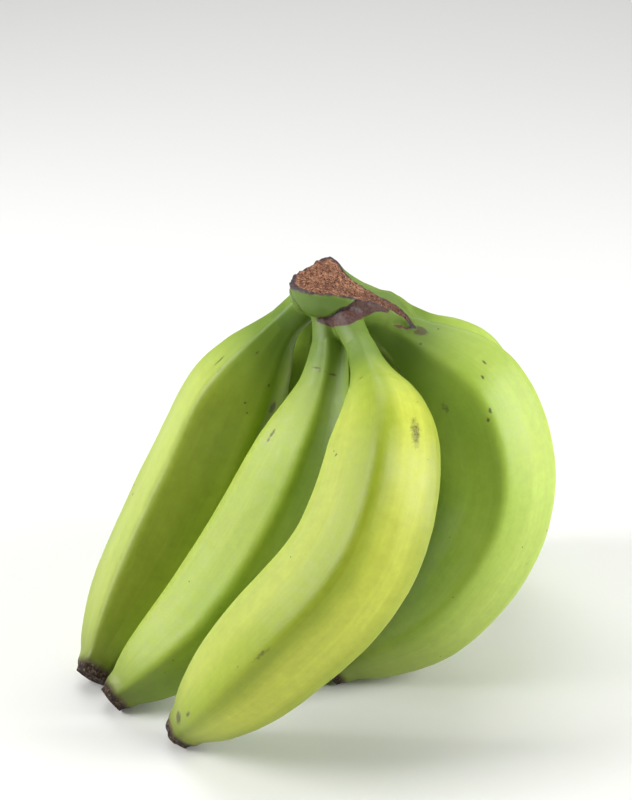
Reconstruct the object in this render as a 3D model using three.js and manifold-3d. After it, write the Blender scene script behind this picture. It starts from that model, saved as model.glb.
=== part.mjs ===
// A hand of green bananas: seven fingers grown from one crown, standing on their tips and bellies with the
// crown up. Millimetres, +Z up, the table at z = 0. The finished group's origin is under the middle of the hand.
import * as THREE from "three";
import Module from "manifold-3d";

const wasm = await Module();
wasm.setup();

// Driving dimensions.
const FINGER_ACROSS = 39; // thickness of a full finger across the ridges of its belly
const GROWN_GAP = 0.3; // all round each neck, where it is grown into the crown
const SIDES = 20; // points around a finger, four to each of its five faces
const STATIONS = 27; // rings along a finger
const RIDGES = 5;
const RIDGE_SHARPNESS = 0.45; // 0 is a round finger, 1 a flat-sided one
const CROWN_STATIONS = 22; // sections along the crown
const CROWN_TOP_POINTS = 5; // across the cut face of a section
const CROWN_BELLY_POINTS = 11; // round the rest of it

// Half the finger's outline, as in turning: share of the length, then share of the belly's radius.
const OUTLINE = [
  [0.0, 0.21],
  [0.08, 0.25],
  [0.15, 0.36],
  [0.24, 0.68],
  [0.34, 0.91],
  [0.5, 1.0],
  [0.68, 0.97],
  [0.81, 0.84],
  [0.91, 0.58],
  [0.965, 0.36],
  [1.0, 0.27],
].map(([along, radius]) => new THREE.Vector2(along, radius));

// Each finger's centre line runs through six points: its root in the crown, the end of its neck, its shoulder,
// its belly, its lower part and its tip. The crown is over x = y = 0. girth scales the thickness, roll turns
// the ridges about the line in degrees, and shortNeck is the share of the outline left off at the root.
const FINGERS = [
  {
    name: "finger_left",
    line: [[-12, 1, 120], [-22, 1, 109], [-36, 2, 86], [-48.5, -1, 58], [-66, -16, 27], [-84, -43, 5]],
    girth: 1.0,
    roll: 4,
    shortNeck: 0.04,
  },
  {
    name: "finger_front_left",
    line: [[-6.5, -7.5, 121], [-6, -18, 105], [-13, -27.5, 81], [-25, -34.5, 55], [-46, -43.5, 26], [-76, -56, 5]],
    girth: 0.92,
    roll: 20,
    shortNeck: 0,
  },
  {
    name: "finger_front",
    line: [[-0.5, -14, 120], [6, -30, 111], [11.2, -58, 97], [2.6, -78.2, 69], [-23.4, -81.3, 37.6], [-53, -74.5, 5]],
    girth: 1.0,
    roll: -20,
    shortNeck: 0,
  },
  {
    name: "finger_right",
    line: [[8.5, -4, 116.5], [22, -5, 107], [42, -11, 91], [48.5, -20, 59], [30.5, -30, 27], [-6, -39.5, 5]],
    girth: 1.02,
    roll: 17,
    shortNeck: 0.07,
  },
  {
    name: "finger_back_right",
    line: [[13, 10.5, 115], [26, 20.5, 102], [39, 30, 83], [46, 37, 59], [40, 39, 28], [14, 37, 5]],
    girth: 1.0,
    roll: 0,
    shortNeck: 0,
  },
  {
    name: "finger_inner_right",
    line: [[1.5, 6, 118], [6, 8, 103], [11, 9, 82], [16, 8, 58], [11, 7, 30], [-6, 6, 5]],
    girth: 0.85,
    roll: 0,
    shortNeck: 0,
  },
  {
    name: "finger_inner_left",
    line: [[-8, 9, 119], [-11.5, 17, 106], [-15, 25, 84], [-21, 28, 58], [-30, 25, 30], [-46, 14, 5]],
    girth: 0.85,
    roll: 0,
    shortNeck: 0,
  },
];

// The crown's sections from left to right: x, then the front edge of the cut face, its back edge and the
// underside. The cut face is level at the left and slopes down to the back and the right, where the last
// sections are the torn strip that runs out over the neck of the right finger.
const CROWN = [
  { x: -18.5, front: [-8, 128], back: [-5, 128], under: 126 },
  { x: -17, front: [-11, 128.5], back: [1, 128.5], under: 121 },
  { x: -12, front: [-15, 128.5], back: [10, 128.5], under: 117 },
  { x: -5, front: [-17, 128.5], back: [16, 129.5], under: 116 },
  { x: 1, front: [-17, 127.5], back: [17, 124], under: 115 },
  { x: 6, front: [-15, 125.5], back: [16, 121], under: 113 },
  { x: 12, front: [-11.5, 122.5], back: [14, 119], under: 111 },
  { x: 17, front: [-9.5, 119.5], back: [6, 119.5], under: 110 },
  { x: 21, front: [-9.5, 115.5], back: [0, 116.5], under: 109 },
  { x: 23.5, front: [-9, 112], back: [-5, 113], under: 109 },
];

// A closed body through rings of equal length, with an end point closing each end.
function loft(rings, start, end) {
  const sides = rings[0].length;
  const points = [start, ...rings.flat(), end];
  const last = points.length - 1;
  const at = (ring, side) => 1 + ring * sides + (side % sides);
  const faces = [];
  for (let side = 0; side < sides; side++) {
    faces.push(0, at(0, side + 1), at(0, side));
    for (let ring = 0; ring + 1 < rings.length; ring++) {
      faces.push(at(ring, side), at(ring, side + 1), at(ring + 1, side + 1));
      faces.push(at(ring, side), at(ring + 1, side + 1), at(ring + 1, side));
    }
    faces.push(last, at(rings.length - 1, side), at(rings.length - 1, side + 1));
  }
  return new THREE.BufferGeometry().setFromPoints(points).setIndex(faces);
}

// The radius of a soft-cornered polygon of unit size at an angle from one of its ridges.
function ridgedRadius(angle, sharpness) {
  const face = (2 * Math.PI) / RIDGES;
  const fromMidFace = Math.abs(((angle % face) + face) % face - face / 2);
  return (Math.cos(face / 2) / Math.cos(fromMidFace)) ** sharpness;
}

const vector = ([x, y, z]) => new THREE.Vector3(x, y, z);

// A finger's closed body. tipLift raises its tip, and extra widens it all over, also back past its root.
function fingerGeometry(finger, tipLift = 0, extra = 0) {
  const points = finger.line.map(vector);
  points[5].z += tipLift;
  const line = new THREE.CatmullRomCurve3(points, false, "centripetal");
  const chord = points[5].clone().sub(points[0]);
  const outward = points[3].clone().sub(points[0]).addScaledVector(chord, -0.5);
  const acrossBend = new THREE.Vector3().crossVectors(chord, outward).normalize();
  const turn = THREE.MathUtils.degToRad(finger.roll);
  const whole = new THREE.SplineCurve(OUTLINE).getPoints(STATIONS - 1);
  const outline = whole.filter(({ x }) => x >= finger.shortNeck);
  const rings = outline.map(({ x, y: share }, station) => {
    const along = (x - outline[0].x) / (1 - outline[0].x);
    const centre = line.getPointAt(along);
    const tangent = line.getTangentAt(along);
    if (station === 0) centre.addScaledVector(tangent, -extra);
    const side = acrossBend.clone().addScaledVector(tangent, -acrossBend.dot(tangent)).normalize();
    const out = new THREE.Vector3().crossVectors(side, tangent);
    const radius = (share * finger.girth * FINGER_ACROSS) / 2;
    return Array.from({ length: SIDES }, (_, k) => {
      const angle = (k / SIDES) * 2 * Math.PI;
      const reach = radius * ridgedRadius(angle, RIDGE_SHARPNESS) + extra;
      return centre
        .clone()
        .addScaledVector(out, reach * Math.cos(angle + turn))
        .addScaledVector(side, reach * Math.sin(angle + turn));
    });
  });
  const start = line.getPointAt(0).addScaledVector(line.getTangentAt(0), -extra);
  return loft(rings, start, line.getPointAt(1));
}

// How far a finger's tip has to rise for its lowest point to meet the table.
function tipLiftOf(finger) {
  let lift = 0;
  for (let round = 0; round < 8; round++) {
    const geometry = fingerGeometry(finger, lift);
    geometry.computeBoundingBox();
    lift -= geometry.boundingBox.min.z;
  }
  return lift;
}

// The crown as one closed body, before the necks are let into it.
function crownGeometry() {
  const edges = new THREE.CatmullRomCurve3(CROWN.map(({ x, front, back }) => vector([x, front[0], back[0]])));
  const levels = new THREE.CatmullRomCurve3(CROWN.map(({ front, back, under }) => vector([front[1], back[1], under])));
  const rings = Array.from({ length: CROWN_STATIONS }, (_, station) => {
    const t = station / (CROWN_STATIONS - 1);
    const { x, y: front, z: back } = edges.getPoint(t);
    const { x: frontTop, y: backTop, z: under } = levels.getPoint(t);
    const topPoint = (share) => new THREE.Vector3(x, front, frontTop).lerp(new THREE.Vector3(x, back, backTop), share);
    const top = Array.from({ length: CROWN_TOP_POINTS }, (_, k) => topPoint(k / (CROWN_TOP_POINTS - 1)));
    const belly = Array.from({ length: CROWN_BELLY_POINTS }, (_, k) => {
      const angle = (Math.PI * (k + 1)) / (CROWN_BELLY_POINTS + 1);
      const point = topPoint((1 + Math.cos(angle)) / 2);
      point.z += (under - point.z) * Math.sin(angle) ** 0.7;
      return point;
    });
    return [...top, ...belly];
  });
  const middle = (ring) => ring.reduce((sum, p) => sum.add(p), new THREE.Vector3()).divideScalar(ring.length);
  return loft(rings, middle(rings[0]), middle(rings[rings.length - 1]));
}

function toManifold(geometry) {
  const vertProperties = geometry.getAttribute("position").array;
  const triVerts = new Uint32Array(geometry.index.array);
  const solid = new wasm.Manifold(new wasm.Mesh({ numProp: 3, vertProperties, triVerts }));
  if (solid.volume() > 0) return solid;
  const turned = triVerts.map((_, k) => triVerts[k - (k % 3) + (2 - (k % 3))]);
  return new wasm.Manifold(new wasm.Mesh({ numProp: 3, vertProperties, triVerts: turned }));
}

function fromManifold(solid) {
  const { vertProperties, triVerts } = solid.getMesh();
  const geometry = new THREE.BufferGeometry();
  geometry.setAttribute("position", new THREE.BufferAttribute(new Float32Array(vertProperties), 3));
  return geometry.setIndex([...triVerts]);
}

const skin = new THREE.MeshStandardMaterial({ color: 0x8fae3f, roughness: 0.45, metalness: 0 });
const cork = new THREE.MeshStandardMaterial({ color: 0x7a5440, roughness: 0.9, metalness: 0 });

const hand = new THREE.Group();
let crown = toManifold(crownGeometry());
for (const finger of FINGERS) {
  const lift = tipLiftOf(finger);
  const mesh = new THREE.Mesh(fingerGeometry(finger, lift), skin);
  mesh.name = finger.name;
  hand.add(mesh);
  crown = crown.subtract(toManifold(fingerGeometry(finger, lift, GROWN_GAP)));
}
const pieces = crown.decompose().sort((a, b) => b.volume() - a.volume());
const crownMesh = new THREE.Mesh(fromManifold(pieces[0]), cork);
crownMesh.name = "crown";
hand.add(crownMesh);

const box = new THREE.Box3().setFromObject(hand);
hand.position.set(-(box.min.x + box.max.x) / 2, -(box.min.y + box.max.y) / 2, -box.min.z);

export default hand;
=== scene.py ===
"""A hand of seven green bananas on one cut crown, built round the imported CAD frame. Metres, +Z up."""
import math

import bmesh
import bpy
import numpy as np
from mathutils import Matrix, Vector, noise


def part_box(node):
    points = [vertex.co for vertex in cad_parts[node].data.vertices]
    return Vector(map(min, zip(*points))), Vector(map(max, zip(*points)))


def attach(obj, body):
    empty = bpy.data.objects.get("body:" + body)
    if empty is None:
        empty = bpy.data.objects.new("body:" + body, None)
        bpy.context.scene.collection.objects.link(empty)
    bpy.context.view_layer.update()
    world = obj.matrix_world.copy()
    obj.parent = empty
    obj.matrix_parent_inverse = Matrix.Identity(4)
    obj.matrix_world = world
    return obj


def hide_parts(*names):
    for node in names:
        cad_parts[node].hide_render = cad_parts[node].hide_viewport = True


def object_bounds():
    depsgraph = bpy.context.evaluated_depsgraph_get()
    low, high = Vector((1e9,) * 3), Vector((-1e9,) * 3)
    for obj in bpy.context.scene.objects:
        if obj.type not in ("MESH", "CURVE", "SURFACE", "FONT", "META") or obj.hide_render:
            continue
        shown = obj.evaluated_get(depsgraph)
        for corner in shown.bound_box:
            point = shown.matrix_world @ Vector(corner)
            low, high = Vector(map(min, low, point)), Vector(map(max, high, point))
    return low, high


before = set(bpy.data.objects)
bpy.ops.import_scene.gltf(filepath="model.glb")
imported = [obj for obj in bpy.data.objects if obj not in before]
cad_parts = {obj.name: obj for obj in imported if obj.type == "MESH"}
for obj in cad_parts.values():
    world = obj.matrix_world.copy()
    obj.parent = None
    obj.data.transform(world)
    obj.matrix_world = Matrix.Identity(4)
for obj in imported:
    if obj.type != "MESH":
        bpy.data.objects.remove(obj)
cad_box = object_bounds()

MM = 0.001
SIDES = 20  # points round a CAD finger, four to each of its five faces
RIDGES = 5
RINGS_FINE = 230  # rings of a finished finger
SIDES_FINE = 120  # points round it
CROWN_VOXEL = 0.55 * MM
CROWN_SMOOTHING = 7  # passes that round the joins between the crown and the necks
COLLAR_LENGTH = 17 * MM  # how far down each neck the crown has grown
DOUBLES = 0.02 * MM  # corners closer than this are one
FLOOR_REACH = 4.0  # metres from the middle of the floor to its edges


def linear(colour):
    """An sRGB hex value as linear red, green, blue and alpha."""
    parts = [int(colour[k : k + 2], 16) / 255 for k in (1, 3, 5)]
    return [p / 12.92 if p <= 0.04045 else ((p + 0.055) / 1.055) ** 2.4 for p in parts] + [1.0]


def add(tree, kind, inputs=None, stops=None, **settings):
    """Adds a node: its settings, then each input as a value or as another node's output, then its colour stops."""
    made = tree.nodes.new(kind)
    for name, value in settings.items():
        setattr(made, name, value)
    for socket, value in (inputs or {}).items():
        if isinstance(value, bpy.types.NodeSocket):
            tree.links.new(value, made.inputs[socket])
        else:
            made.inputs[socket].default_value = value
    if stops:
        ramp = made.color_ramp
        while len(ramp.elements) < len(stops):
            ramp.elements.new(1.0)
        for element, (place, colour) in zip(ramp.elements, stops):
            element.position = place
            element.color = linear(colour)
    return made


# ---------------------------------------------------------------- the fingers' shapes, from the CAD nodes


def cad_rings(name):
    """A CAD finger's rings from its root to its tip, each starting on the outermost ridge: (rings, SIDES, 3)."""
    bm = bmesh.new()
    bm.from_mesh(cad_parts[name].data)
    bmesh.ops.remove_doubles(bm, verts=bm.verts, dist=DOUBLES)
    ends = [v for v in bm.verts if len(v.link_edges) == SIDES]
    root = max(ends, key=lambda v: v.co.z)
    seen = {root}
    level = [root]
    rings = []
    while True:
        level = {e.other_vert(v) for v in level for e in v.link_edges} - seen
        if len(level) < SIDES:
            break
        seen |= level
        rings.append(np.array([v.co[:] for v in level]))
    bm.free()
    centres = np.array([ring.mean(0) for ring in rings])
    tangents = np.gradient(centres, axis=0)
    tangents /= np.linalg.norm(tangents, axis=1)[:, None]
    middle = len(rings) // 2
    bulge = centres[middle] - (centres[0] + centres[-1]) / 2
    reference = bulge / np.linalg.norm(bulge)
    ordered = []
    for ring, centre, tangent in zip(rings, centres, tangents):
        across = reference - tangent * reference.dot(tangent)
        across /= np.linalg.norm(across)
        beside = np.cross(tangent, across)
        arms = ring - centre
        angles = np.arctan2(arms @ beside, arms @ across)
        ordered.append(ring[np.argsort(angles % (2 * math.pi))])
    # each ring starts where the one before it does
    rings = [ordered[0]]
    for ring, tangent in zip(ordered[1:], tangents[1:]):
        before = rings[-1] - rings[-1].mean(0)
        arms = ring - ring.mean(0)
        before = before / np.linalg.norm(before, axis=1)[:, None]
        arms = arms / np.linalg.norm(arms, axis=1)[:, None]
        shift = max(range(SIDES), key=lambda k: (np.roll(arms, -k, 0) * before).sum())
        rings.append(np.roll(ring, -shift, 0))
    rings = np.array(rings)
    arms = rings[middle] - rings[middle].mean(0)
    reach = np.linalg.norm(arms, axis=1)
    phase = max(range(4), key=lambda k: reach[k::4].sum())
    first = max(range(phase, SIDES, 4), key=lambda k: arms[k].dot(bulge))
    return np.roll(rings, -first, 1)


def smooth_along(values, places):
    """Catmull-Rom through values at whole numbers, read at the given places, along the first axis."""
    last = len(values) - 1
    cell = np.clip(np.floor(places).astype(int), 0, last - 1)
    t = (places - cell).reshape(-1, *([1] * (values.ndim - 1)))
    p0, p1 = values[np.clip(cell - 1, 0, last)], values[cell]
    p2, p3 = values[cell + 1], values[np.clip(cell + 2, 0, last)]
    return 0.5 * (
        2 * p1 + (p2 - p0) * t + (2 * p0 - 5 * p1 + 4 * p2 - p3) * t**2 + (3 * p1 - p0 - 3 * p2 + p3) * t**3
    )


def wobble(points, size, seed):
    """Smooth noise from -1 to 1 at each point; size is its wavelength in metres."""
    shift = Vector((seed * 1.7, seed * 0.9, seed * 2.3))
    return np.array([noise.noise(Vector(p) / size + shift) for p in points])


def finger_grid(name):
    """A finger's fine grid of points, its centre line, and how far along each ring is, from 0 to 1."""
    rings = cad_rings(name)
    centres = rings.mean(1)
    steps = np.linalg.norm(np.diff(centres, axis=0), axis=1)
    lengths = np.concatenate([[0], np.cumsum(steps)])
    # evenly spaced rings, packed closer over the last of the tip
    share = np.linspace(0, 1, RINGS_FINE)
    share = share + 0.035 * np.sin(math.pi * share) * share
    share = share / share[-1]
    places = np.interp(share * lengths[-1], lengths, np.arange(len(rings)))
    along = smooth_along(rings, places)
    wrapped = np.concatenate([along[:, -3:], along, along[:, :4]], 1).swapaxes(0, 1)
    turn = 3 + np.arange(SIDES_FINE) * SIDES / SIDES_FINE
    grid = smooth_along(wrapped, turn).swapaxes(0, 1)
    return grid, grid.mean(1), share, lengths[-1]


# Each finger's peel. Its tones go once round it from ridge 0, the outermost, with a ridge every 0.2; on the four
# front fingers they are partly the peel's own greens and partly painted light and painted shade, lighter on faces
# turned to the lamps and darker on faces turned away or shaded by the next finger. A mark is how far along, how far
# round, its length and width in millimetres, and its darkness. The neck may be fuller, and the lower half may be
# darkened with painted shade.
FINGERS = {
    "finger_left": dict(
        seed=11,
        lower=0.84,
        # painted shade on the olive face from 0.4 to 0.58 and painted light on the pale strip from 0.6 to 0.8
        tones_and_painted_shading=[
            (0.0, "#99af42"), (0.2, "#8fa63c"), (0.4, "#8ea238"), (0.54, "#899b34"), (0.585, "#93a53c"),
            (0.625, "#b9ca69"), (0.7, "#bdcd6e"), (0.82, "#a3b850"), (1.0, "#99af42"),
        ],
        marks=[
            (0.207, 0.652, 5.0, 1.0, 0.85), (0.215, 0.605, 3.5, 0.8, 0.8), (0.142, 0.533, 1.6, 0.9, 0.8),
            (0.187, 0.408, 1.6, 0.9, 0.8), (0.241, 0.342, 4.5, 4.0, 1.0),
        ],
    ),
    "finger_front_left": dict(
        seed=23,
        neck=1.6,
        # painted shade on the faces from about 0.85 round to 0.18, where the front finger shades them, and painted
        # light on the faces from 0.23 to 0.4
        tones_and_painted_shading=[
            (0.0, "#7b9634"), (0.12, "#7a9532"), (0.18, "#86a138"), (0.23, "#a6bd4e"), (0.32, "#b2c65a"),
            (0.4, "#b0c45a"), (0.5, "#a2b94e"), (0.7, "#97b046"), (1.0, "#7b9634"),
        ],
        marks=[
            (0.138, 0.28, 0.7, 2.6, 0.85), (0.144, 0.22, 0.6, 4.6, 0.85), (0.146, 0.15, 0.6, 3.0, 0.8),
            (0.296, 0.35, 3.2, 1.2, 0.9), (0.312, 0.352, 2.0, 0.9, 0.85),
        ],
    ),
    "finger_front": dict(
        seed=37,
        # painted shade on the faces from 0.55 round to 0, where the right finger shades them; the yellow band from
        # 0.05 to 0.13 and the pale face near 0.33 are partly the peel's own colour and partly painted light
        tones_and_painted_shading=[
            (0.0, "#99a83d"), (0.055, "#cbd45a"), (0.13, "#ccd659"), (0.175, "#a2b23a"), (0.21, "#9aab38"),
            (0.26, "#a9ba46"), (0.33, "#bfcb61"), (0.4, "#b9c862"), (0.55, "#9fb346"), (0.85, "#7f9433"),
            (1.0, "#99a83d"),
        ],
        marks=[
            (0.305, 0.088, 8.0, 4.0, 0.62), (0.697, 0.205, 7.0, 2.0, 0.6), (0.65, 0.228, 26.0, 0.8, 0.66),
            (0.346, 0.35, 1.3, 1.0, 0.85), (0.945, 0.275, 4.5, 3.6, 0.85), (0.905, 0.236, 3.0, 1.2, 0.85),
            (0.182, 0.283, 0.7, 4.0, 0.62),
        ],
    ),
    "finger_right": dict(
        seed=41,
        lower=0.66,
        # painted shade on the faces from 0.28 to 0.7, darkest near 0.5, where the front finger shades them, and
        # painted light on the face from 0 to 0.1
        tones_and_painted_shading=[
            (0.0, "#b8cf68"), (0.1, "#b9d067"), (0.18, "#a6c253"), (0.28, "#8fae40"), (0.38, "#7b9934"),
            (0.5, "#739130"), (0.7, "#8ba640"), (0.9, "#a5be55"), (1.0, "#b8cf68"),
        ],
        marks=[
            (0.092, 0.10, 4.6, 3.0, 1.3), (0.241, 0.317, 7.0, 3.0, 0.55), (0.228, 0.10, 1.3, 1.1, 1.0),
            (0.241, 0.15, 1.3, 1.0, 1.0), (0.292, 0.192, 1.4, 1.0, 1.0), (0.305, 0.208, 1.2, 1.0, 1.0),
        ],
    ),
    "finger_back_right": dict(
        seed=53,
        tones_and_painted_shading=[(0.0, "#b3ca64"), (0.25, "#a6bf55"), (0.5, "#95b049"), (0.75, "#a0b94f"), (1.0, "#b3ca64")],
        marks=[(0.4, 0.1, 3.0, 1.5, 0.8)],
    ),
    "finger_inner_right": dict(
        seed=67,
        tones_and_painted_shading=[(0.0, "#a8b64c"), (0.3, "#9fae46"), (0.6, "#99ab45"), (1.0, "#a8b64c")],
        marks=[(0.5, 0.5, 3.0, 1.5, 0.8)],
    ),
    "finger_inner_left": dict(
        seed=79,
        tones_and_painted_shading=[(0.0, "#9cb651"), (0.3, "#93ae4a"), (0.6, "#8fab47"), (1.0, "#9cb651")],
        marks=[(0.45, 0.45, 3.0, 1.5, 0.8)],
    ),
}


def peel_shape(name, grid, centres, share, length):
    """Raises the ridges of a fine grid, crumples its neck and tip, and returns it with its marks' strength."""
    facts = FINGERS[name]
    seed = facts["seed"]
    arms = grid - centres[:, None]
    reach = np.linalg.norm(arms, axis=2)
    away = arms / np.maximum(reach, 1e-6)[..., None]
    around = np.arange(SIDES_FINE) / SIDES_FINE
    from_ridge = np.abs((around * RIDGES + 0.5) % 1 - 0.5) / RIDGES  # share of a turn from the nearest ridge
    belly = np.clip((share - 0.16) / 0.14, 0, 1) * np.clip((1 - share) / 0.1, 0, 1)
    arc = from_ridge[None] * 2 * math.pi * reach  # metres from the nearest ridge
    keel = 0.45 * MM * np.exp(-((arc / (4.2 * MM)) ** 2)) - 0.25 * MM * np.exp(-(((arc - 9 * MM) / (5 * MM)) ** 2))
    push = keel * belly[:, None]
    flat = grid.reshape(-1, 3)
    push += 0.35 * MM * wobble(flat, 22 * MM, seed).reshape(reach.shape) * belly[:, None]
    push += 0.07 * MM * wobble(flat, 5 * MM, seed + 1).reshape(reach.shape)
    # fine grooves run down the neck, and cross wrinkles gather where it widens
    neck = np.clip((0.2 - share) / 0.06, 0, 1)
    grooves = np.sin(around * 2 * math.pi * 9 + seed) + 0.4 * np.sin(around * 2 * math.pi * 23 + 2 * seed)
    push += 0.02 * MM * grooves[None] * neck[:, None]
    fuller = np.exp(-(((share - 0.12) / 0.06) ** 2)) * facts.get("neck", 0.0) * MM
    push += fuller[:, None]
    fold = np.exp(-(((share - 0.185) / 0.035) ** 2))
    ripple = np.sin(share[:, None] * length / (1.5 * MM) + 3 * np.sin(around * 2 * math.pi * 2 + seed)[None])
    push += 0.06 * MM * ripple * fold[:, None]
    # the dried flower end: a ragged cup with a raised rim
    end = np.clip((share - 0.965) / 0.035, 0, 1)
    ragged = wobble(flat, 2.2 * MM, seed + 2).reshape(reach.shape)
    push += 0.55 * MM * ragged * end[:, None]
    push += 0.45 * MM * np.exp(-(((share - 0.975) / 0.012) ** 2))[:, None]
    shaped = grid + away * push[..., None]
    marks = np.zeros_like(reach)
    for at, turn, long, wide, dark in facts["marks"]:
        down = (share[:, None] - at) * length / (long * MM / 2)
        over = (np.abs((around - turn + 0.5) % 1 - 0.5)[None]) * 2 * math.pi * reach / (wide * MM / 2)
        marks = np.maximum(marks, dark * np.exp(-(down**2 + over**2) * 0.7))
    return shaped, marks


def finger_mesh(name):
    grid, centres, share, length = finger_grid(name)
    grid, marks = peel_shape(name, grid, centres, share, length)
    rings, sides = grid.shape[:2]
    # the flower end's cup: rings that shrink inwards and sink, with a rough floor
    tip_axis = centres[-1] - centres[-4]
    tip_axis /= np.linalg.norm(tip_axis)
    cap = []
    for inwards, sink in ((0.86, 0.15), (0.66, 0.55), (0.44, 0.8), (0.22, 0.9)):
        ring = centres[-1] + (grid[-1] - centres[-1]) * inwards - tip_axis * sink * MM
        rough = wobble(ring, 1.4 * MM, FINGERS[name]["seed"] + 5)
        cap.append(ring + tip_axis * (0.35 * MM * rough)[:, None])
    points = np.concatenate([grid.reshape(-1, 3), np.concatenate(cap)])
    points = np.concatenate([points, [centres[0], centres[-1] - tip_axis * 0.9 * MM]])
    total = rings + len(cap)
    faces = []
    for ring in range(total - 1):
        for side in range(sides):
            nxt = (side + 1) % sides
            low, high = ring * sides, (ring + 1) * sides
            faces.append((low + side, low + nxt, high + nxt, high + side))
    start, finish = total * sides, total * sides + 1
    faces += [(start, (k + 1) % sides, k) for k in range(sides)]
    last = (total - 1) * sides
    faces += [(finish, last + k, last + (k + 1) % sides) for k in range(sides)]
    mesh = bpy.data.meshes.new(name + "_peel")
    mesh.from_pydata([tuple(p) for p in points], [], faces)
    full_share = np.concatenate([share, [1.0] * len(cap)])
    along = np.concatenate([np.repeat(full_share, sides), [0.0, 1.0]])
    strength = np.concatenate([marks.reshape(-1), np.zeros(len(cap) * sides + 2)])
    for label, values in (("along", along), ("mark", strength)):
        layer = mesh.attributes.new(label, "FLOAT", "POINT")
        layer.data.foreach_set("value", values.astype(np.float32))
    # the peel's own coordinates: x once round from ridge 0, y from root to tip
    uv = mesh.uv_layers.new(name="peel")
    coords = np.zeros((len(mesh.loops), 2), np.float32)
    for polygon in mesh.polygons:
        corners = [mesh.loops[k].vertex_index for k in polygon.loop_indices]
        turns = [(c % sides) / sides if c < total * sides else None for c in corners]
        known = [t for t in turns if t is not None]
        wraps = max(known) - min(known) > 0.5
        for k, corner, turn in zip(polygon.loop_indices, corners, turns):
            x = sum(known) / len(known) if turn is None else turn
            if wraps and turn is not None and turn < 0.5:
                x += 1.0
            coords[k] = (x, along[corner])
    uv.data.foreach_set("uv", coords.reshape(-1))
    mesh.update()
    bm = bmesh.new()
    bm.from_mesh(mesh)
    bmesh.ops.recalc_face_normals(bm, faces=bm.faces)
    bm.to_mesh(mesh)
    bm.free()
    mesh.polygons.foreach_set("use_smooth", [True] * len(mesh.polygons))
    return mesh, grid, centres, share, length


# ---------------------------------------------------------------- materials


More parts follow.
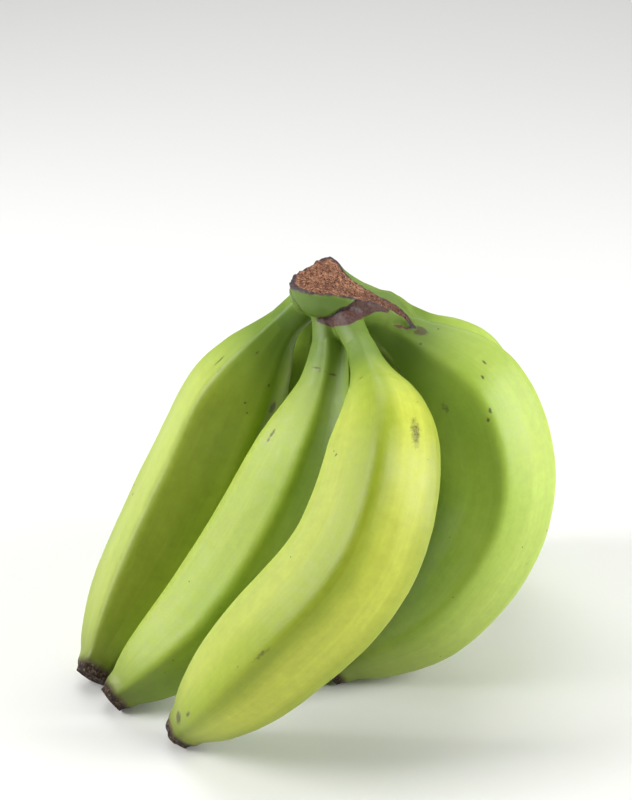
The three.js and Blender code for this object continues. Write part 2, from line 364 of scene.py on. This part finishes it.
def peel_material(name):
    """Green banana peel, grown: a thin waxy skin over pale pith. The wax gives a soft broad sheen, the faces carry
    tones that are partly its own greens and partly painted light and painted shade, fibres run lengthways just under
    the skin, and every knock leaves a brown speck."""
    facts = FINGERS[name]
    material = bpy.data.materials.new("green_peel_" + name)
    material.use_nodes = True
    tree = material.node_tree
    tree.nodes.clear()
    place = add(tree, "ShaderNodeTexCoord").outputs["Object"]
    peel = add(tree, "ShaderNodeUVMap", uv_map="peel").outputs["UV"]
    along = add(tree, "ShaderNodeAttribute", attribute_name="along").outputs["Fac"]
    mark = add(tree, "ShaderNodeAttribute", attribute_name="mark").outputs["Fac"]
    parts = add(tree, "ShaderNodeSeparateXYZ", {"Vector": peel})

    # the tones of its faces, partly the peel's own greens and partly painted light and painted shade, which run into
    # each other over the ridges
    turn = add(tree, "ShaderNodeMath", {0: parts.outputs["X"]}, operation="FRACT")
    drift = add(tree, "ShaderNodeTexNoise", {"Vector": place, "Scale": 60.0, "Detail": 2.0})
    shifted = add(
        tree, "ShaderNodeMath", {0: drift.outputs["Fac"], 1: 0.03, 2: turn.outputs[0]}, operation="MULTIPLY_ADD"
    )
    centred = add(tree, "ShaderNodeMath", {0: shifted.outputs[0], 1: 0.015}, operation="SUBTRACT")
    tone = add(tree, "ShaderNodeValToRGB", {"Fac": centred.outputs[0]}, stops=facts["tones_and_painted_shading"])

    # broad ripening patches, about 30 mm across, and faint mottling of about 3 mm
    patches = add(tree, "ShaderNodeTexNoise", {"Vector": place, "Scale": 34.0, "Detail": 3.0})
    patch_mask = add(tree, "ShaderNodeMapRange", {0: patches.outputs["Fac"], 1: 0.42, 2: 0.68, 3: 0.0, 4: 0.18})
    riper = add(
        tree,
        "ShaderNodeMix",
        {"Factor": patch_mask.outputs[0], 6: tone.outputs["Color"], 7: linear("#bcc455")},
        data_type="RGBA",
    )
    mottle = add(tree, "ShaderNodeTexNoise", {"Vector": place, "Scale": 330.0, "Detail": 4.0, "Roughness": 0.6})
    mottle_mask = add(tree, "ShaderNodeMapRange", {0: mottle.outputs["Fac"], 1: 0.35, 2: 0.7, 3: 0.94, 4: 1.05})

    # fibres under the skin: long streaks about 1 mm wide
    stretched = add(tree, "ShaderNodeMapping", {"Vector": peel, "Scale": (95.0, 5.0, 1.0)})
    fibres = add(tree, "ShaderNodeTexNoise", {"Vector": stretched.outputs[0], "Scale": 1.0, "Detail": 3.0})
    fibre_mask = add(tree, "ShaderNodeMapRange", {0: fibres.outputs["Fac"], 1: 0.3, 2: 0.7, 3: 0.965, 4: 1.03})
    shade = add(
        tree, "ShaderNodeMath", {0: mottle_mask.outputs[0], 1: fibre_mask.outputs[0]}, operation="MULTIPLY"
    )
    shaded = add(
        tree,
        "ShaderNodeVectorMath",
        {0: riper.outputs[2], "Scale": shade.outputs[0]},
        operation="SCALE",
    )

    # painted shade: the lower half is darkened towards the tip, most on the right finger
    painted_shade_towards_tip = add(
        tree,
        "ShaderNodeMapRange",
        {0: along, 1: 0.45, 2: 0.85, 3: 0.97, 4: facts.get("lower", 0.95)},
    )
    rich = add(
        tree, "ShaderNodeHueSaturation", {"Color": shaded.outputs[0], "Saturation": 1.05, "Value": painted_shade_towards_tip.outputs[0]}
    )

    # the neck is a duller, darker green, partly its own colour and partly painted shade, and so is the last of the
    # tip, before the black of the dried flower
    ends = add(
        tree,
        "ShaderNodeValToRGB",
        {"Fac": along},
        stops=[
            (0.0, "#6f8a30"), (0.12, "#6f8b2c"), (0.22, "#87a338"),
            (0.86, "#93a83a"), (0.955, "#6f7f30"), (1.0, "#47431f"),
        ],
    )
    near_end = add(
        tree,
        "ShaderNodeValToRGB",
        {"Fac": along},
        stops=[
            (0.0, "#ffffff"), (0.11, "#ffffff"), (0.27, "#000000"),
            (0.84, "#000000"), (0.96, "#c8c8c8"), (1.0, "#ffffff"),
        ],
    )
    body = add(
        tree,
        "ShaderNodeMix",
        {"Factor": near_end.outputs["Color"], 6: rich.outputs["Color"], 7: ends.outputs["Color"]},
        data_type="RGBA",
    )

    # specks of latex and rub: most under half a millimetre, crowding here and there
    cells = add(tree, "ShaderNodeTexVoronoi", {"Vector": place, "Scale": 260.0, "Randomness": 1.0})
    crowd = add(tree, "ShaderNodeTexNoise", {"Vector": place, "Scale": 75.0, "Detail": 2.0})
    speck_size = add(tree, "ShaderNodeMapRange", {0: crowd.outputs["Fac"], 1: 0.52, 2: 0.8, 3: 0.0, 4: 0.2})
    speck = add(
        tree, "ShaderNodeMath", {0: cells.outputs["Distance"], 1: speck_size.outputs[0]}, operation="LESS_THAN"
    )
    speck_soft = add(tree, "ShaderNodeMath", {0: speck.outputs[0], 1: 0.75}, operation="MULTIPLY")
    specked = add(
        tree,
        "ShaderNodeMix",
        {"Factor": speck_soft.outputs[0], 6: body.outputs[2], 7: linear("#4a4a22")},
        data_type="RGBA",
    )

    # larger scars, their edges broken up by fine noise
    grit = add(tree, "ShaderNodeTexNoise", {"Vector": place, "Scale": 900.0, "Detail": 4.0, "Roughness": 0.7})
    scar_sum = add(tree, "ShaderNodeMath", {0: grit.outputs["Fac"], 1: 0.9, 2: mark}, operation="MULTIPLY_ADD")
    scar = add(tree, "ShaderNodeMapRange", {0: scar_sum.outputs[0], 1: 0.78, 2: 1.1, 3: 0.0, 4: 0.85})
    scarred = add(
        tree,
        "ShaderNodeMix",
        {"Factor": scar.outputs[0], 6: specked.outputs[2], 7: linear("#54492c")},
        data_type="RGBA",
    )

    # the dried flower end, with a ragged border
    tip_sum = add(tree, "ShaderNodeMath", {0: grit.outputs["Fac"], 1: 0.02, 2: along}, operation="MULTIPLY_ADD")
    tip = add(tree, "ShaderNodeMapRange", {0: tip_sum.outputs[0], 1: 0.982, 2: 0.995, 3: 0.0, 4: 1.0})
    tip_tone = add(
        tree,
        "ShaderNodeValToRGB",
        {"Fac": grit.outputs["Fac"]},
        stops=[(0.35, "#1c1512"), (0.5, "#33261f"), (0.66, "#7a6450")],
    )
    finished = add(
        tree,
        "ShaderNodeMix",
        {"Factor": tip.outputs[0], 6: scarred.outputs[2], 7: tip_tone.outputs["Color"]},
        data_type="RGBA",
    )

    # pores and fibres, too fine to see one by one, break up the sheen
    pores = add(tree, "ShaderNodeTexNoise", {"Vector": place, "Scale": 1500.0, "Detail": 3.0})
    height = add(
        tree, "ShaderNodeMath", {0: fibres.outputs["Fac"], 1: 1.2, 2: pores.outputs["Fac"]}, operation="MULTIPLY_ADD"
    )
    bump = add(tree, "ShaderNodeBump", {"Height": height.outputs[0], "Strength": 0.18, "Distance": 0.12 * MM})
    wax = add(tree, "ShaderNodeMapRange", {0: mottle.outputs["Fac"], 1: 0.3, 2: 0.7, 3: 0.4, 4: 0.54})
    dry = add(tree, "ShaderNodeMath", {0: tip.outputs[0], 1: 0.4, 2: wax.outputs[0]}, operation="MULTIPLY_ADD")
    surface = add(
        tree,
        "ShaderNodeBsdfPrincipled",
        {
            "Base Color": finished.outputs[2],
            "Roughness": dry.outputs[0],
            "IOR": 1.44,
            "Normal": bump.outputs[0],
        },
    )
    add(tree, "ShaderNodeOutputMaterial", {"Surface": surface.outputs[0]})
    return material


# ---------------------------------------------------------------- build the fingers

shapes = {}
for finger in FINGERS:
    mesh, grid, centres, share, length = finger_mesh(finger)
    shapes[finger] = (grid, centres, share, length)
    piece = bpy.data.objects.new(finger + "_peel", mesh)
    bpy.context.scene.collection.objects.link(piece)
    mesh.materials.append(peel_material(finger))
    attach(piece, "root")
    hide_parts(finger)


# ---------------------------------------------------------------- the crown, grown onto the necks

CROWN_LOW = np.array(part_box("crown")[0])
# Outlines on the crown in millimetres from its box's low corner. CUT is seen from above. LIP and TEAR are on the
# front wall, as x against height plus SLANT times depth.
SLANT = 0.445
CUT = [
    (0.3, 10.2), (1.3, 19.2), (6.3, 27.2), (13.0, 32.4), (15.5, 32.0), (19.5, 26.2), (23.5, 21.2), (27.5, 17.8),
    (31.5, 15.2), (35.5, 13.2), (38.5, 10.7), (40.5, 8.2), (37.5, 7.0), (33.5, 6.4), (28.5, 4.9), (23.5, 1.9),
    (16.5, -0.2), (8.5, 1.4), (2.3, 6.0),
]
LIP = [
    (0.2, 22.7), (2.8, 24.1), (5.3, 21.4), (7.5, 19.7), (11.7, 19.2), (16.4, 18.9), (20.2, 17.8),
    (21.2, 16.3), (18.0, 13.9), (13.3, 11.2), (9.4, 10.8), (4.7, 13.2), (1.8, 17.7),
]
TEAR = [
    (20.2, 17.7), (24.7, 17.0), (30.8, 15.3), (33.0, 13.9), (31.8, 12.6), (27.3, 12.4), (23.5, 10.2),
    (19.0, 7.6), (14.0, 7.2), (9.0, 9.4), (9.4, 11.2), (13.3, 11.2), (18.0, 13.9), (21.2, 16.3),
]


def inside(points, outline):
    """Distance of each 2-D point from an outline, positive inside it."""
    corners = np.array(outline)
    following = np.roll(corners, -1, 0)
    nearest = np.full(len(points), 1e9)
    crossings = np.zeros(len(points), bool)
    for a, b in zip(corners, following):
        edge = b - a
        t = np.clip(((points - a) @ edge) / (edge @ edge), 0, 1)
        nearest = np.minimum(nearest, np.linalg.norm(points - a - t[:, None] * edge, axis=1))
        spans = (a[1] > points[:, 1]) != (b[1] > points[:, 1])
        at = a[0] + (points[:, 1] - a[1]) * edge[0] / (edge[1] if edge[1] else 1e-9)
        crossings ^= spans & (points[:, 0] < at)
    return np.where(crossings, nearest, -nearest)


def ramp(values, start, end):
    """0 below start, 1 above end, and a straight slope between."""
    return np.clip((values - start) / (end - start), 0, 1)


def add_collar(bm, grid, centres, share, length):
    """A sleeve over the first of a neck: proud of it at the root, sunk below it where it ends."""
    stop = int(np.searchsorted(share * length, COLLAR_LENGTH))
    axis = centres[0] - centres[3]
    axis /= np.linalg.norm(axis)
    rows = []
    for k in range(0, stop, 2):
        ring = grid[k, ::3]
        proud = (0.9 - 1.35 * ramp(share[k] * length, 4 * MM, 16 * MM)) * MM
        away = ring - centres[k]
        away /= np.linalg.norm(away, axis=1)[:, None]
        back = axis * 1.2 * MM if k == 0 else 0.0
        rows.append([bm.verts.new(p) for p in ring + away * proud + back])
    for before, after in zip(rows, rows[1:]):
        for k in range(len(before)):
            n = (k + 1) % len(before)
            bm.faces.new((before[k], before[n], after[n], after[k]))
    bm.faces.new(rows[0][::-1])
    bm.faces.new(rows[-1])


def vertex_array(mesh, what):
    values = np.zeros(len(mesh.vertices) * 3, np.float32)
    mesh.vertices.foreach_get(what, values)
    return values.reshape(-1, 3).astype(float)


def crown_mesh():
    bm = bmesh.new()
    bm.from_mesh(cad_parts["crown"].data)
    bmesh.ops.remove_doubles(bm, verts=bm.verts, dist=DOUBLES)
    for finger, (grid, centres, share, length) in shapes.items():
        add_collar(bm, grid, centres, share, length)
    bmesh.ops.recalc_face_normals(bm, faces=bm.faces)
    rough = bpy.data.meshes.new("crown_rough")
    bm.to_mesh(rough)
    bm.free()
    holder = bpy.data.objects.new("crown_rough", rough)
    bpy.context.scene.collection.objects.link(holder)
    remesh = holder.modifiers.new("grow", "REMESH")
    remesh.mode = "VOXEL"
    remesh.voxel_size = CROWN_VOXEL
    remesh.use_smooth_shade = True
    evaluated = holder.evaluated_get(bpy.context.evaluated_depsgraph_get())
    mesh = bpy.data.meshes.new_from_object(evaluated)
    bpy.data.objects.remove(holder)
    mesh.name = "crown_grown"
    bm = bmesh.new()
    bm.from_mesh(mesh)
    # drop any loose crumb, then round the joins
    seen, largest = set(), []
    for seed in bm.verts:
        if seed in seen:
            continue
        island, queue = [], [seed]
        seen.add(seed)
        while queue:
            v = queue.pop()
            island.append(v)
            for e in v.link_edges:
                other = e.other_vert(v)
                if other not in seen:
                    seen.add(other)
                    queue.append(other)
        if len(island) > len(largest):
            largest = island
    kept = set(largest)
    bmesh.ops.delete(bm, geom=[v for v in bm.verts if v not in kept], context="VERTS")
    for _ in range(CROWN_SMOOTHING):
        bmesh.ops.smooth_vert(bm, verts=bm.verts, factor=0.5, use_axis_x=True, use_axis_y=True, use_axis_z=True)
    bm.to_mesh(mesh)
    bm.free()
    mesh.update()

    points = vertex_array(mesh, "co")
    normals = np.array([n.vector[:] for n in mesh.vertex_normals])
    local = (points - CROWN_LOW) / MM
    slanted = np.stack([local[:, 0], local[:, 2] + SLANT * local[:, 1]], 1)
    ragged = 0.9 * wobble(points, 4 * MM, 5) + 0.5 * wobble(points, 1.5 * MM, 6)
    upward = ramp(normals[:, 2], 0.3, 0.55)
    on_cut = inside(local[:, :2], CUT) + ragged * 0.6
    high_enough = ramp(local[:, 2] + 0.25 * local[:, 0], 12.0, 13.5)  # the cut, not the root of a neck below it
    cut = ramp(on_cut, -0.3, 0.3) * upward * high_enough
    corner = np.exp(-((local[:, 0] / 4.5) ** 2)) + np.exp(
        -(((local[:, 0] - 13.5) ** 2 + (local[:, 1] - 31.0) ** 2) / 4.5**2)
    )
    rim = np.exp(-((on_cut / (0.9 + 2.2 * corner)) ** 2)) * ramp(normals[:, 2], 0.0, 0.4) * high_enough
    forward = ramp(-normals[:, 1], -0.35, 0.0) * (1 - cut)
    in_lip = inside(slanted, LIP) + ragged * 0.2
    in_tear = inside(slanted, TEAR) + ragged * 0.3
    lip = ramp(in_lip, -0.4, 0.4) * forward
    tear = ramp(in_tear, -0.3, 0.3) * forward * (1 - lip)
    crease = np.exp(-(((in_lip + 0.4) / 0.5) ** 2)) * forward * ramp(local[:, 2], 8.5, 10.0)

    # the cut is dished and fibrous with a curled rim, and the lip stands proud of the necks
    fibres = 0.55 * wobble(points, 1.3 * MM, 1) + 0.3 * wobble(points, 0.7 * MM, 2) + 0.6 * wobble(points, 4 * MM, 3)
    lift = cut * (fibres - 0.9 * ramp(on_cut, 1.0, 6.0)) + 0.4 * rim * (1 + ragged * 0.5)
    peak = np.exp(-(((local[:, 0] - 14.5) ** 2 + (local[:, 1] - 31.0) ** 2) / 3.0**2)) * upward
    lift += 0.5 * peak
    out = 0.75 * lip - 0.45 * crease - 0.25 * tear + 0.12 * wobble(points, 3 * MM, 9)
    points[:, 2] += lift * MM
    points += normals * (out * (1 - cut))[:, None] * MM
    mesh.vertices.foreach_set("co", points.astype(np.float32).reshape(-1))
    strip = ramp(local[:, 0] + 2.0 * ragged, 20.0, 30.0)
    masks = {"cut": cut, "rim": rim, "tear": tear, "crease": crease, "lip": lip, "strip": strip}
    for label, values in masks.items():
        layer = mesh.attributes.new(label, "FLOAT", "POINT")
        layer.data.foreach_set("value", values.astype(np.float32))
    mesh.polygons.foreach_set("use_smooth", [True] * len(mesh.polygons))
    mesh.update()
    return mesh


def crown_material():
    """The crown: the same waxy green skin where it is whole, and dried, corky banana stalk where it was cut.
    The cut is dull and spongy, with paler fibre ends, and its edge has dried purple brown."""
    material = bpy.data.materials.new("cut_and_dried_crown")
    material.use_nodes = True
    tree = material.node_tree
    tree.nodes.clear()
    place = add(tree, "ShaderNodeTexCoord").outputs["Object"]
    cut, rim, tear, crease, lip, strip = (
        add(tree, "ShaderNodeAttribute", attribute_name=label).outputs["Fac"]
        for label in ("cut", "rim", "tear", "crease", "lip", "strip")
    )
    broad = add(tree, "ShaderNodeTexNoise", {"Vector": place, "Scale": 110.0, "Detail": 3.0})
    fine = add(tree, "ShaderNodeTexNoise", {"Vector": place, "Scale": 900.0, "Detail": 5.0, "Roughness": 0.7})
    skin = add(
        tree,
        "ShaderNodeValToRGB",
        {"Fac": broad.outputs["Fac"]},
        stops=[(0.35, "#64802c"), (0.55, "#6f8a30"), (0.7, "#7b9439")],
    )
    lipped = add(
        tree,
        "ShaderNodeMix",
        {"Factor": lip, 6: skin.outputs["Color"], 7: linear("#6f8b3c")},
        data_type="RGBA",
    )
    # fibre ends about 1 mm across, dark where the cork between them has shrunk
    ends = add(tree, "ShaderNodeTexVoronoi", {"Vector": place, "Scale": 1100.0, "Randomness": 1.0})
    gritty = add(tree, "ShaderNodeMath", {0: fine.outputs["Fac"], 1: 1.6, 2: -0.35}, operation="MULTIPLY_ADD")
    spongy = add(
        tree,
        "ShaderNodeMath",
        {0: ends.outputs["Distance"], 1: 0.45, 2: gritty.outputs[0]},
        operation="MULTIPLY_ADD",
    )
    uneven = add(
        tree, "ShaderNodeMath", {0: broad.outputs["Fac"], 1: 0.9, 2: spongy.outputs[0]}, operation="MULTIPLY_ADD"
    )
    sponginess = add(tree, "ShaderNodeMapRange", {0: uneven.outputs[0], 1: 0.6, 2: 1.6, 3: 0.0, 4: 1.0})
    cork = add(
        tree,
        "ShaderNodeValToRGB",
        {"Fac": sponginess.outputs[0]},
        stops=[(0.15, "#c09472"), (0.4, "#a5775a"), (0.6, "#83563f"), (0.85, "#452a20")],
    )
    torn = add(
        tree,
        "ShaderNodeValToRGB",
        {"Fac": fine.outputs["Fac"]},
        stops=[(0.35, "#432b29"), (0.58, "#65453d"), (0.75, "#856353")],
    )
    darker = add(tree, "ShaderNodeMath", {0: strip, 1: 0.7}, operation="MULTIPLY")
    aged = add(
        tree,
        "ShaderNodeMix",
        {"Factor": darker.outputs[0], 6: cork.outputs["Color"], 7: torn.outputs["Color"]},
        data_type="RGBA",
    )
    dried = add(
        tree,
        "ShaderNodeValToRGB",
        {"Fac": fine.outputs["Fac"]},
        stops=[(0.35, "#2a1e20"), (0.55, "#4a383a"), (0.75, "#6e5650")],
    )
    surface_colour = lipped.outputs[2]
    for mask, colour, low_end, high_end in (
        (tear, torn.outputs["Color"], 0.35, 0.6),
        (cut, aged.outputs[2], 0.4, 0.6),
        (rim, dried.outputs["Color"], 0.45, 0.85),
        (crease, dried.outputs["Color"], 0.5, 1.0),
    ):
        broken = add(tree, "ShaderNodeMath", {0: fine.outputs["Fac"], 1: 0.5, 2: mask}, operation="MULTIPLY_ADD")
        edge = add(
            tree, "ShaderNodeMapRange", {0: broken.outputs[0], 1: low_end + 0.25, 2: high_end + 0.25, 3: 0.0, 4: 1.0}
        )
        layered = add(
            tree,
            "ShaderNodeMix",
            {"Factor": edge.outputs[0], 6: surface_colour, 7: colour},
            data_type="RGBA",
        )
        surface_colour = layered.outputs[2]
    dull = add(tree, "ShaderNodeMapRange", {0: cut, 1: 0.0, 2: 1.0, 3: 0.48, 4: 0.95})
    bare = add(tree, "ShaderNodeMath", {0: cut, 1: tear}, operation="MAXIMUM")
    grain = add(tree, "ShaderNodeMapRange", {0: bare.outputs[0], 1: 0.0, 2: 1.0, 3: 0.05, 4: 1.0})
    height = add(tree, "ShaderNodeMath", {0: spongy.outputs[0], 1: grain.outputs[0]}, operation="MULTIPLY")
    bump = add(tree, "ShaderNodeBump", {"Height": height.outputs[0], "Strength": 0.5, "Distance": 0.25 * MM})
    surface = add(
        tree,
        "ShaderNodeBsdfPrincipled",
        {"Base Color": surface_colour, "Roughness": dull.outputs[0], "IOR": 1.44, "Normal": bump.outputs[0]},
    )
    add(tree, "ShaderNodeOutputMaterial", {"Surface": surface.outputs[0]})
    return material


crown = bpy.data.objects.new("crown_grown", crown_mesh())
bpy.context.scene.collection.objects.link(crown)
crown.data.materials.clear()
crown.data.materials.append(crown_material())
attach(crown, "root")
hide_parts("crown")


# ---------------------------------------------------------------- the fibre ends that stand up from the cut


def fibre_material():
    """Banana stalk fibre, cut and dried: bundles of tan strands, their ends dull and darker where they dried."""
    material = bpy.data.materials.new("dried_stalk_fibre")
    material.use_nodes = True
    tree = material.node_tree
    tree.nodes.clear()
    place = add(tree, "ShaderNodeTexCoord").outputs["Object"]
    strands = add(tree, "ShaderNodeTexNoise", {"Vector": place, "Scale": 700.0, "Detail": 3.0})
    tone = add(
        tree,
        "ShaderNodeValToRGB",
        {"Fac": strands.outputs["Fac"]},
        stops=[(0.34, "#3c2620"), (0.48, "#7d553f"), (0.6, "#a97c5d"), (0.72, "#bf9574")],
    )
    surface = add(
        tree, "ShaderNodeBsdfPrincipled", {"Base Color": tone.outputs["Color"], "Roughness": 0.9, "IOR": 1.5}
    )
    add(tree, "ShaderNodeOutputMaterial", {"Surface": surface.outputs[0]})
    return material


def fibre_ends_tree():
    """Geometry nodes that scatter short tapered stubs over the surface where its cut attribute is 1."""
    tree = bpy.data.node_groups.new("fibre_ends", "GeometryNodeTree")
    tree.interface.new_socket("Geometry", in_out="INPUT", socket_type="NodeSocketGeometry")
    for label in ("Fibres per square metre", "Fibre radius", "Fibre length"):
        tree.interface.new_socket(label, in_out="INPUT", socket_type="NodeSocketFloat")
    tree.interface.new_socket("Geometry", in_out="OUTPUT", socket_type="NodeSocketGeometry")
    given = add(tree, "NodeGroupInput").outputs
    cut, rim = (
        add(tree, "GeometryNodeInputNamedAttribute", {"Name": label}, data_type="FLOAT").outputs["Attribute"]
        for label in ("cut", "rim")
    )
    off_rim = add(tree, "ShaderNodeMapRange", {0: rim, 1: 0.08, 2: 0.3, 3: 1.0, 4: 0.0})
    where = add(tree, "ShaderNodeMath", {0: cut, 1: off_rim.outputs[0]}, operation="MULTIPLY")
    density = add(
        tree, "ShaderNodeMath", {0: where.outputs[0], 1: given["Fibres per square metre"]}, operation="MULTIPLY"
    ).outputs[0]
    points = add(
        tree, "GeometryNodeDistributePointsOnFaces", {"Mesh": given["Geometry"], "Density": density, "Seed": 7}
    )
    narrow = add(tree, "ShaderNodeMath", {0: given["Fibre radius"], 1: 0.55}, operation="MULTIPLY")
    stub = add(
        tree,
        "GeometryNodeMeshCone",
        {
            "Vertices": 6,
            "Radius Top": narrow.outputs[0],
            "Radius Bottom": given["Fibre radius"],
            "Depth": given["Fibre length"],
        },
    )
    sink = add(tree, "ShaderNodeMath", {0: given["Fibre length"], 1: -0.45}, operation="MULTIPLY")
    down = add(tree, "ShaderNodeCombineXYZ", {"Z": sink.outputs[0]})
    sunk = add(
        tree, "GeometryNodeTransform", {"Geometry": stub.outputs["Mesh"], "Translation": down.outputs[0]}
    )
    size = add(tree, "FunctionNodeRandomValue", {2: 0.55, 3: 1.35, "Seed": 3}, data_type="FLOAT")
    placed = add(
        tree,
        "GeometryNodeInstanceOnPoints",
        {
            "Points": points.outputs["Points"],
            "Instance": sunk.outputs["Geometry"],
            "Rotation": points.outputs["Rotation"],
            "Scale": size.outputs[1],
        },
    )
    real = add(tree, "GeometryNodeRealizeInstances", {"Geometry": placed.outputs["Instances"]})
    finished = add(
        tree, "GeometryNodeSetMaterial", {"Geometry": real.outputs["Geometry"], "Material": fibre_material()}
    )
    add(tree, "NodeGroupOutput", {"Geometry": finished.outputs["Geometry"]})
    return tree


source = bpy.data.objects.new("fibre_source", crown.data.copy())
bpy.context.scene.collection.objects.link(source)
scatter = source.modifiers.new("fibre_ends", "NODES")
scatter.node_group = fibre_ends_tree()
FIBRES = {"Fibres per square metre": 1.1e6, "Fibre radius": 0.22 * MM, "Fibre length": 0.62 * MM}
for item in scatter.node_group.interface.items_tree:
    if item.in_out == "INPUT" and item.name in FIBRES:
        scatter[item.identifier] = FIBRES[item.name]
fibre_mesh = bpy.data.meshes.new_from_object(source.evaluated_get(bpy.context.evaluated_depsgraph_get()))
bpy.data.objects.remove(source)
fibre_mesh.name = "crown_fibre_ends"
fibres = bpy.data.objects.new("crown_fibre_ends", fibre_mesh)
bpy.context.scene.collection.objects.link(fibres)
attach(fibres, "root")


# ---------------------------------------------------------------- floor, light and camera

floor_mesh = bpy.data.meshes.new("floor")
floor_corners = [(x * FLOOR_REACH, y * FLOOR_REACH, 0) for x, y in ((-1, -1), (1, -1), (1, 1), (-1, 1))]
floor_mesh.from_pydata(floor_corners, [], [(0, 1, 2, 3)])
floor = bpy.data.objects.new("floor", floor_mesh)
bpy.context.scene.collection.objects.link(floor)
paper = bpy.data.materials.new("matte_white_paper")
paper.use_nodes = True
paper.node_tree.nodes["Principled BSDF"].inputs["Base Color"].default_value = linear("#ebebe9")
paper.node_tree.nodes["Principled BSDF"].inputs["Roughness"].default_value = 0.9
floor_mesh.materials.append(paper)

middle = (Vector(cad_box[0]) + Vector(cad_box[1])) / 2


def softbox(name, place, size, power, colour="#ffffff"):
    light = bpy.data.lights.new(name, "AREA")
    light.shape = "RECTANGLE"
    light.size, light.size_y = size
    light.energy = power
    light.color = linear(colour)[:3]
    holder = bpy.data.objects.new(name, light)
    holder.location = place
    holder.rotation_euler = (middle - Vector(place)).to_track_quat("-Z", "Y").to_euler()
    bpy.context.scene.collection.objects.link(holder)


softbox("softbox_left", (-0.8, -0.1, 0.6), (0.45, 0.6), 8.6)
softbox("softbox_right", (0.85, -0.2, 0.4), (0.45, 0.6), 9.0)
softbox("softbox_top", (-0.1, 0.15, 1.0), (0.6, 0.6), 2.4)
softbox("softbox_back", (0.0, 1.5, 1.6), (2.4, 1.2), 26.0)
world = bpy.data.worlds.new("tent")
world.use_nodes = True
world.node_tree.nodes["Background"].inputs[0].default_value = linear("#ffffff")
world.node_tree.nodes["Background"].inputs[1].default_value = 0.04
bpy.context.scene.world = world
bpy.context.scene.view_settings.view_transform = "Standard"

CAMERA_TILT = 24.0  # degrees down from level
CAMERA_DISTANCE = 600 * MM
LENS = 81.0  # on a 36 mm sensor
tilt = math.radians(CAMERA_TILT)
forward = Vector((0, math.cos(tilt), -math.sin(tilt)))
aim = Vector((0.6 * MM, 20.8 * MM, 84.8 * MM))
camera_data = bpy.data.cameras.new("camera")
camera_data.lens = LENS
camera = bpy.data.objects.new("camera", camera_data)
camera.location = aim - forward * CAMERA_DISTANCE
camera.rotation_euler = forward.to_track_quat("-Z", "Y").to_euler()
bpy.context.scene.collection.objects.link(camera)
bpy.context.scene.camera = camera
